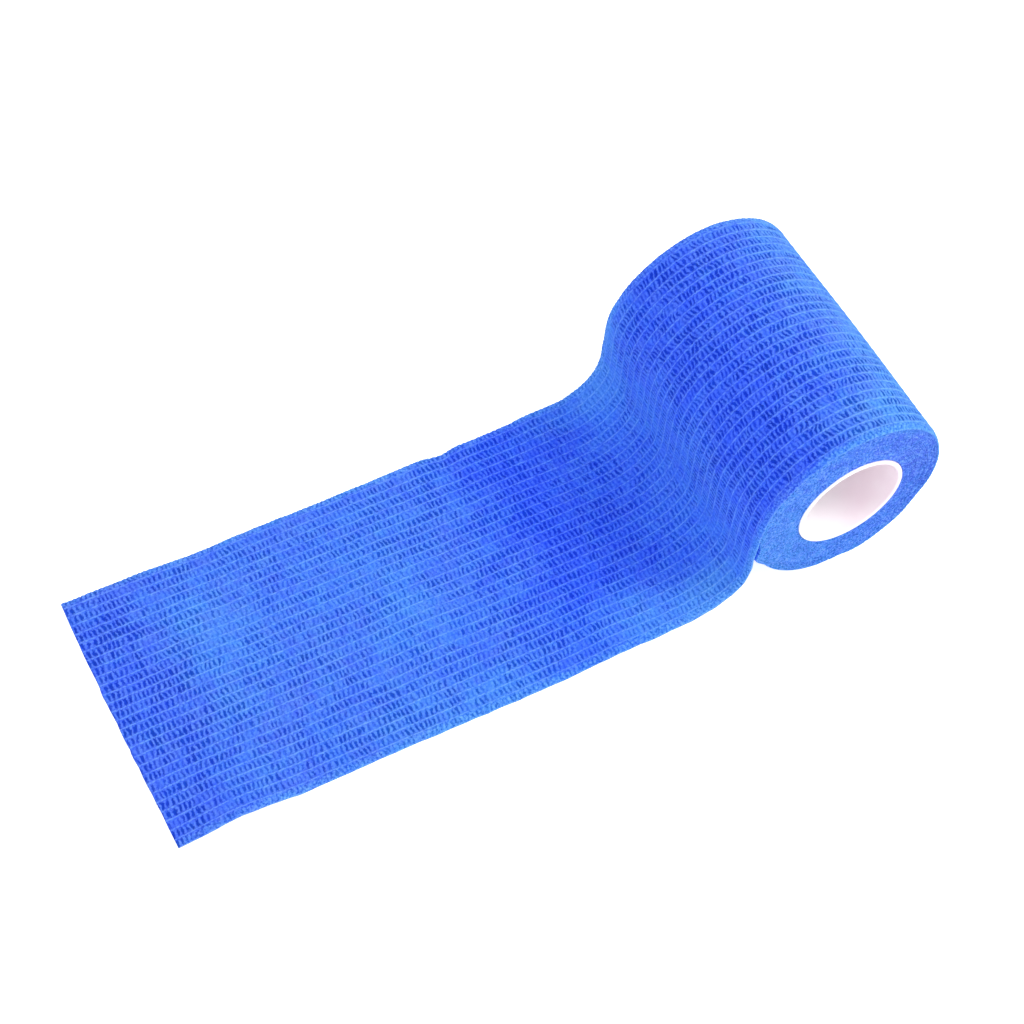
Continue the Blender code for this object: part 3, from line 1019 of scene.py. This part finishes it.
def round_shell(stations):
    """The wound cloth while it is still round: two spiral ends, the bore, and the outside in steps."""
    bm = bmesh.new()
    crest = bm.verts.layers.float.new("crest")
    add_face(bm, 0, crest)
    add_face(bm, 1, crest)
    bmesh.ops.remove_doubles(bm, verts=bm.verts, dist=MERGE_WITHIN)
    rims = [edge for edge in bm.edges if edge.is_boundary]
    middle = 0.5 * (INNER_TURN + ROLL_RADIUS)

    def reach(edge):
        point = edge.verts[0].co
        return math.hypot(point.x, point.z - AXIS_HEIGHT)

    inner = [edge for edge in rims if reach(edge) < middle]
    ring = [edge for edge in rims if reach(edge) > middle and edge.verts[0].co.y < 0.5 * WIDTH]
    bmesh.ops.bridge_loops(bm, edges=inner)
    for start, end in zip(stations, stations[1:]):
        made = bmesh.ops.extrude_edge_only(bm, edges=ring)["geom"]
        ring = [item for item in made if isinstance(item, bmesh.types.BMEdge)]
        verts = [item for item in made if isinstance(item, bmesh.types.BMVert)]
        bmesh.ops.translate(bm, verts=verts, vec=(0.0, end - start, 0.0))
        for face in {face for vert in verts for face in vert.link_faces}:
            face.material_index = 0
    bmesh.ops.remove_doubles(bm, verts=bm.verts, dist=MERGE_WITHIN)
    bmesh.ops.recalc_face_normals(bm, faces=bm.faces)
    return mesh_from(bm, "wound_cloth")


def make_wound_cloth(materials):
    """All the turns under the strip: spiral ends, and the turn that shows behind the parting."""
    _, _, lines = column_places()
    threads = list(lines[BAND_STEPS:-1:BAND_STEPS])
    mesh = round_shell([EDGE_INSET] + threads + [WIDTH - EDGE_INSET])
    points = points_of(mesh)
    across = np.clip(points[:, 1] / WIDTH, 0.0, 1.0)
    radius = np.hypot(points[:, 0], points[:, 2] - AXIS_HEIGHT)
    angle = np.arctan2(points[:, 2] - AXIS_HEIGHT, points[:, 0])
    past = (np.degrees(angle) - STEP_ANGLE) % 360.0
    radius = INNER_TURN + (radius - INNER_TURN) * settled_share(past, across)
    points[:, 0] = radius * np.cos(angle)
    points[:, 2] = np.maximum(AXIS_HEIGHT + radius * np.sin(angle), 0.0)
    set_points(mesh, points)

    band_place = np.interp(points[:, 1], [0.0] + threads + [WIDTH], np.arange(BANDS + 1))
    place = ROLL_RADIUS * (angle % (2.0 * np.pi))
    add_weave_map(mesh, place, band_place)
    band = np.clip(band_place.astype(int), 0, BANDS - 1)
    add_value(mesh, "pucker", pucker_strength(place, band, points[:, 1]))
    # painted shade in the crease behind the parting
    behind = (np.degrees(angle) - 180.0) % 360.0
    add_value(mesh, "tone", BEHIND_PALE * ease(behind, BEHIND_FROM, BEHIND_TO))
    # painted light on one side of the roll's ends and at their rim
    greener = FACE_GREENER - FACE_LESS_GREEN * np.cos(angle - math.radians(FACE_LESS_AT))
    add_value(mesh, "greener", greener + RIM_GREENER * ease(radius, *RIM_GREEN))
    wound = make_piece("wound_cloth", mesh, materials)
    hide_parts("roll")
    return wound


# ------------------------------------------------------------------ the core


LIP_ROUNDING = 0.00042
LIP_STEPS = 4
CORE_RINGS = 15  # rings between the lips
CORE_STEPS = 160  # steps round the tube


def make_core(material):
    """A plain white tube with softly rounded lips."""
    bore = CORE_RADIUS - CORE_WALL
    near = -CORE_PROUD
    far = WIDTH + CORE_PROUD
    bm = bmesh.new()
    corners = [(CORE_RADIUS, near), (CORE_RADIUS, far), (bore, far), (bore, near)]
    verts = [bm.verts.new((radius, y, AXIS_HEIGHT)) for radius, y in corners]
    for pair in zip(verts, verts[1:] + verts[:1]):
        bm.edges.new(pair)
    bmesh.ops.bevel(
        bm,
        geom=verts,
        offset=LIP_ROUNDING,
        offset_type="OFFSET",
        segments=LIP_STEPS,
        profile=0.5,
        affect="VERTICES",
        material=-1,
    )
    long_edges = [edge for edge in bm.edges if edge.calc_length() > 0.5 * WIDTH]
    bmesh.ops.subdivide_edges(bm, edges=long_edges, cuts=CORE_RINGS)
    bmesh.ops.spin(
        bm,
        geom=list(bm.verts) + list(bm.edges),
        cent=(0.0, 0.0, AXIS_HEIGHT),
        axis=(0.0, 1.0, 0.0),
        angle=2.0 * math.pi,
        steps=CORE_STEPS,
        use_merge=True,
    )
    bmesh.ops.remove_doubles(bm, verts=bm.verts, dist=MERGE_WITHIN)
    bmesh.ops.recalc_face_normals(bm, faces=bm.faces)
    mesh = mesh_from(bm, "core_tube")
    set_points(mesh, points_of(mesh))
    core = make_piece("core_tube", mesh, [material])
    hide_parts("core")
    return core


# ------------------------------------------------------------------ floor, light and camera

CAMERA_AZIMUTH = -30.2532
CAMERA_ELEVATION = 56.3285
CAMERA_ROLL = 3.3898
CAMERA_DISTANCE = 0.529395
CAMERA_RIGHT = -0.0834795
CAMERA_UP = 0.0121188
CAMERA_LENS = 71.67  # on a sensor this wide, for a square picture
CAMERA_SENSOR = 36.0
FLOOR_BELOW = 0.00004
KEY_PLACE = (0.77, -0.46, 0.80)
KEY_SIZE = 0.45
KEY_POWER = 5.0
SKY_STRENGTH = 1.12


def make_camera():
    azimuth = math.radians(CAMERA_AZIMUTH)
    elevation = math.radians(CAMERA_ELEVATION)
    back = Vector(
        (
            math.sin(azimuth) * math.cos(elevation),
            -math.cos(azimuth) * math.cos(elevation),
            math.sin(elevation),
        )
    )
    level = Vector((math.cos(azimuth), math.sin(azimuth), 0.0))
    upright = back.cross(level)
    roll = math.radians(CAMERA_ROLL)
    right = level * math.cos(roll) + upright * math.sin(roll)
    up = upright * math.cos(roll) - level * math.sin(roll)
    data = bpy.data.cameras.new("camera")
    data.sensor_width = CAMERA_SENSOR
    data.lens = CAMERA_LENS
    data.clip_start = 0.01
    camera = bpy.data.objects.new("camera", data)
    turn = Matrix((right, up, back)).transposed().to_4x4()
    eye = ROLL_PLACE + back * CAMERA_DISTANCE + right * CAMERA_RIGHT + up * CAMERA_UP
    camera.matrix_world = Matrix.Translation(eye) @ turn
    bpy.context.scene.collection.objects.link(camera)
    bpy.context.scene.camera = camera


def make_floor(material):
    bm = bmesh.new()
    bmesh.ops.create_grid(bm, x_segments=4, y_segments=4, size=4.0)
    bmesh.ops.translate(bm, verts=bm.verts, vec=(0.0, 0.0, -FLOOR_BELOW))
    floor = bpy.data.objects.new("floor", mesh_from(bm, "floor"))
    floor.data.materials.append(material)
    bpy.context.scene.collection.objects.link(floor)


def make_lamp(name, place, size, power):
    """A soft square lamp that faces the part."""
    data = bpy.data.lights.new(name, "AREA")
    data.size = size
    data.energy = power
    lamp = bpy.data.objects.new(name, data)
    aim = Vector(place).to_track_quat("Z", "Y")
    lamp.matrix_world = Matrix.Translation(place) @ aim.to_matrix().to_4x4()
    bpy.context.scene.collection.objects.link(lamp)


def make_light():
    world = bpy.data.worlds.new("studio")
    world.use_nodes = True
    sky = world.node_tree.nodes["Background"]
    sky.inputs["Color"].default_value = (1.0, 1.0, 1.0, 1.0)
    sky.inputs["Strength"].default_value = SKY_STRENGTH
    bpy.context.scene.world = world
    make_lamp("key", KEY_PLACE, KEY_SIZE, KEY_POWER)
    bpy.context.scene.view_settings.view_transform = "Standard"


# ------------------------------------------------------------------ the whole part


def main():
    make_camera()
    fluff = make_fluff_group()
    crinkle = make_crinkle_group()
    cloth = make_cloth(fluff, crinkle)
    cloth_edge = make_cloth_edge(fluff)
    make_strip([cloth])
    make_wound_cloth([cloth, cloth_edge])
    make_core(make_core_plastic())
    make_floor(make_floor_paper())
    make_light()


main()
